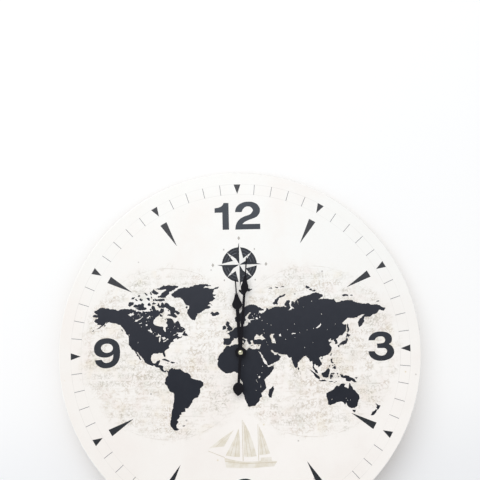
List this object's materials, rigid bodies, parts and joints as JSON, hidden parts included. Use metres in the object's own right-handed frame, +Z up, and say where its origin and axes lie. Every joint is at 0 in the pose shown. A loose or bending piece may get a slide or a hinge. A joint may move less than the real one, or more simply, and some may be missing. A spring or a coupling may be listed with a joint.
{
  "type": "wall clock",
  "caption": "Round frameless wall clock with a world map dial, spade hands and a battery quartz movement hung by a keyhole plate.",
  "frame": {"origin": "on the hand axis, in the wall plane at the rear face of the movement", "axes": "+Z up, +X to the right for a viewer facing the dial, +Y towards the wall, dial facing -Y"},
  "size_m": [0.3999, 0.033, 0.4],
  "materials": {
    "board": "white lacquered fibreboard, raw fibreboard at the back",
    "print": "satin printed film",
    "case_black": "moulded, fine grain",
    "plate_white": "moulded, smooth",
    "gear_plastic": "moulded, smooth",
    "brass": "turned",
    "pale_gold": "polished",
    "rubber": "matt",
    "steel": "zinc plated",
    "hand_black": "matt lacquer",
    "magnet": "sintered",
    "copper": "enamelled wire",
    "circuit": "solder mask",
    "resin": "cured drop",
    "nickel": "bright",
    "battery_sleeve": "printed sleeve, plain"
  },
  "bodies": {
    "clock_body": {"dial_board": "board", "dial_print": "print", "movement_case": "case_black", "movement_cover": "case_black", "train_plate": "plate_white", "centre_bush": "brass", "rubber_gasket": "rubber", "hanger_plate": "steel", "brass_washer": "brass", "hex_nut": "brass", "stator": "steel", "coil_core": "steel", "coil_bobbin": "plate_white", "coil_winding": "copper", "stator_screws": "steel", "circuit_board": "circuit", "clock_chip": "resin", "quartz_crystal": "nickel", "contact_positive": "nickel", "contact_negative": "nickel"},
    "minute_group": {"minute_arbor": "brass", "clutch_washer": "steel", "minute_hand": "hand_black", "cap_nut": "pale_gold"},
    "hour_group": {"hour_wheel": "gear_plastic", "hour_collar": "brass", "hour_hand": "hand_black"},
    "setting_group": {"setting_arbor": "gear_plastic", "setting_knob": "case_black"},
    "centre_group": {"centre_wheel": "gear_plastic"},
    "third_group": {"third_wheel": "gear_plastic"},
    "second_group": {"second_wheel": "gear_plastic"},
    "intermediate_group": {"intermediate_wheel": "gear_plastic"},
    "rotor_group": {"rotor_pinion": "gear_plastic", "rotor_magnet": "magnet"},
    "battery_group": {"battery": "battery_sleeve"}
  },
  "joints": [
    {"name": "minute_turn", "type": "hinge", "parent": "clock_body", "child": "minute_group", "pos_m": [0, -0.0296, 0], "axis": [0, 1, 0], "continuous": true},
    {"name": "hour_turn", "type": "hinge", "parent": "clock_body", "child": "hour_group", "pos_m": [0, -0.0276, 0], "axis": [0, 1, 0], "continuous": true},
    {"name": "setting_turn", "type": "hinge", "parent": "clock_body", "child": "setting_group", "pos_m": [-0.00831, -0.0004, 0.0048], "axis": [0, 1, 0], "continuous": true},
    {"name": "second_turn", "type": "hinge", "parent": "clock_body", "child": "second_group", "pos_m": [0, -0.007, 0], "axis": [0, 1, 0], "continuous": true},
    {"name": "centre_turn", "type": "hinge", "parent": "clock_body", "child": "centre_group", "pos_m": [0, -0.01005, 0], "axis": [0, 1, 0], "continuous": true},
    {"name": "third_turn", "type": "hinge", "parent": "clock_body", "child": "third_group", "pos_m": [0.009, -0.0084, 0], "axis": [0, 1, 0], "continuous": true},
    {"name": "intermediate_turn", "type": "hinge", "parent": "clock_body", "child": "intermediate_group", "pos_m": [0.0008, -0.0058, 0.00916], "axis": [0, 1, 0], "continuous": true},
    {"name": "rotor_turn", "type": "hinge", "parent": "clock_body", "child": "rotor_group", "pos_m": [0.0008, -0.0069, 0.01596], "axis": [0, 1, 0], "continuous": true},
    {"name": "battery_slide", "type": "slide", "parent": "clock_body", "child": "battery_group", "axis": [0, 1, 0], "range_m": [0, 0.02]}
  ],
  "couplings": [
    {"joint": "setting_turn", "follows": "minute_turn", "ratio": -0.33333},
    {"joint": "hour_turn", "follows": "minute_turn", "ratio": 0.083333},
    {"joint": "third_turn", "follows": "second_turn", "ratio": -0.13333},
    {"joint": "centre_turn", "follows": "second_turn", "ratio": 0.016667},
    {"joint": "intermediate_turn", "follows": "second_turn", "ratio": -4},
    {"joint": "rotor_turn", "follows": "second_turn", "ratio": 30}
  ]
}
